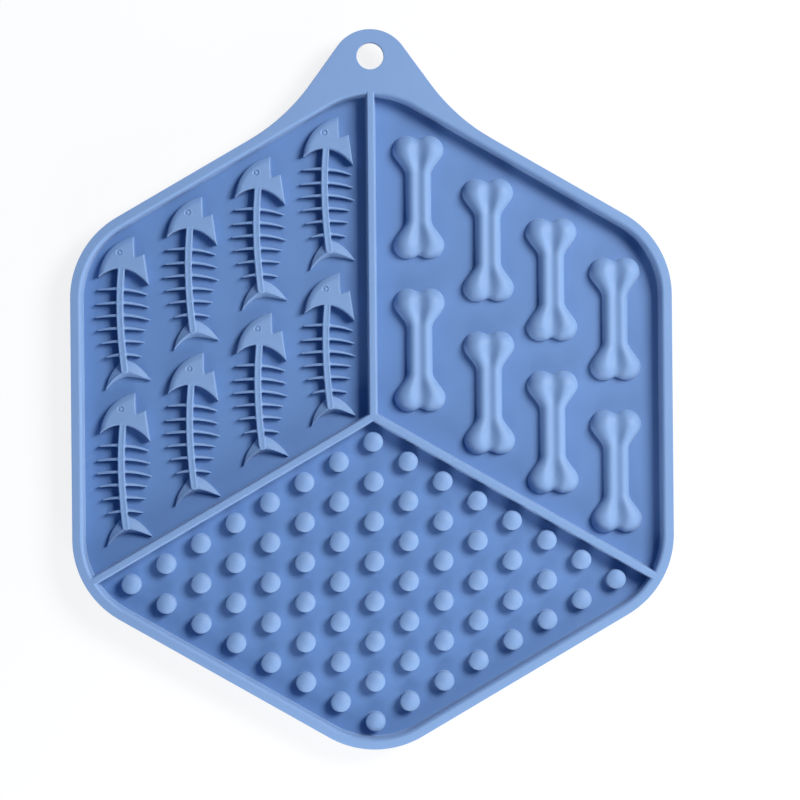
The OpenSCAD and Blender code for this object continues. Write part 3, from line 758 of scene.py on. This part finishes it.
def white_table():
    """A white table that the camera sees as plain white, with the mat's soft shadow on it."""
    material = bpy.data.materials.new("white_table")
    material.use_nodes = True
    material.node_tree.nodes.clear()
    paper = add_node(material, "ShaderNodeBsdfDiffuse", in_Color=hex_colour("#f4f4f4"))
    glow = add_node(material, "ShaderNodeEmission", in_Strength=1.0)
    ray = add_node(material, "ShaderNodeLightPath")
    seen = add_node(material, "ShaderNodeMath", [(0, ray, "Is Camera Ray"),
                                                 (1, ray, "Is Glossy Ray")], operation="MAXIMUM")
    seen = add_node(material, "ShaderNodeMath", [(0, seen, "Value"),
                                                 (1, ray, "Is Transmission Ray")],
                    operation="MAXIMUM")
    share = add_node(material, "ShaderNodeMath", [(0, seen, "Value")], operation="MULTIPLY")
    share.inputs[1].default_value = TABLE_GLOW
    mixed = add_node(material, "ShaderNodeMixShader", [("Fac", share, "Value"),
                                                       (1, paper, "BSDF"), (2, glow, "Emission")])
    add_node(material, "ShaderNodeOutputMaterial", [("Surface", mixed, "Shader")])
    half, thick = TABLE_HALF_W * MM, TABLE_T * MM
    corners = [(-half, -half), (half, -half), (half, half), (-half, half)]
    mesh = bpy.data.meshes.new("table_top")
    mesh.from_pydata([(x, y, z) for z in (-thick, 0.0) for x, y in corners], [],
                     [(3, 2, 1, 0), (4, 5, 6, 7), (0, 1, 5, 4), (1, 2, 6, 5), (2, 3, 7, 6),
                      (3, 0, 4, 7)])
    mesh.materials.append(material)
    table = bpy.data.objects.new("table_top", mesh)
    bpy.context.collection.objects.link(table)


def studio_world():
    """A dim, cool room that fills the shadows with blue. The camera sees it as white."""
    world = bpy.data.worlds.new("studio")
    world.use_nodes = True
    world.node_tree.nodes.clear()
    fill = add_node(world, "ShaderNodeBackground", in_Color=hex_colour("#80b4ff"), in_Strength=0.2)
    seen = add_node(world, "ShaderNodeBackground", in_Color=hex_colour("#ffffff"), in_Strength=1.0)
    ray = add_node(world, "ShaderNodeLightPath")
    room = add_node(world, "ShaderNodeMixShader", [("Fac", ray, "Is Camera Ray"),
                                                   (1, fill, "Background"),
                                                   (2, seen, "Background")])
    add_node(world, "ShaderNodeOutputWorld", [("Surface", room, "Shader")])
    return world


def look(thing, place, target, roll=0.0):
    """Puts a camera or a lamp at a place, looking at a target, both in millimetres."""
    place, target = Vector(place) * MM, Vector(target) * MM
    ahead = (target - place).normalized()
    up = Vector((math.sin(math.radians(roll)), math.cos(math.radians(roll)), 0))
    right = ahead.cross(up).normalized()
    up = right.cross(ahead)
    turn = Matrix((right, up, -ahead)).transposed().to_4x4()
    thing.matrix_world = Matrix.Translation(place) @ turn


def add_lamp(name, place, size, power):
    """A square soft lamp, aimed at the mat's top: its place and size in millimetres, in watts."""
    lamp = bpy.data.lights.new(name, "AREA")
    lamp.shape = "SQUARE"
    lamp.size = size * MM
    lamp.energy = power
    thing = bpy.data.objects.new(name, lamp)
    bpy.context.collection.objects.link(thing)
    look(thing, place, (0, 0, TOP_Z))


white_table()
bpy.context.scene.world = studio_world()
# The softbox stands to the upper right and casts every shadow to the lower left. The low lamps
# brighten the leaning walls that face them.
add_lamp("softbox", (605, 387, 690), 420, 12.4)
add_lamp("right_panel", (520, -280, 125), 250, 1.4)
add_lamp("left_reflector", (-590, 0, 125), 250, 0.3)
add_lamp("front_reflector", (0, -350, 100), 200, 0.95)

# The camera looks almost straight down through a long lens
lens = bpy.data.cameras.new("camera")
lens.sensor_width = 36
lens.lens = 119.21
lens.clip_start = 0.01
camera = bpy.data.objects.new("camera", lens)
bpy.context.collection.objects.link(camera)
look(camera, (-22.0, 5.8 + MAT_Y, 890), (8.956, 5.413 + MAT_Y, TOP_Z), roll=0.501)
bpy.context.scene.camera = camera
bpy.context.scene.view_settings.view_transform = "Standard"
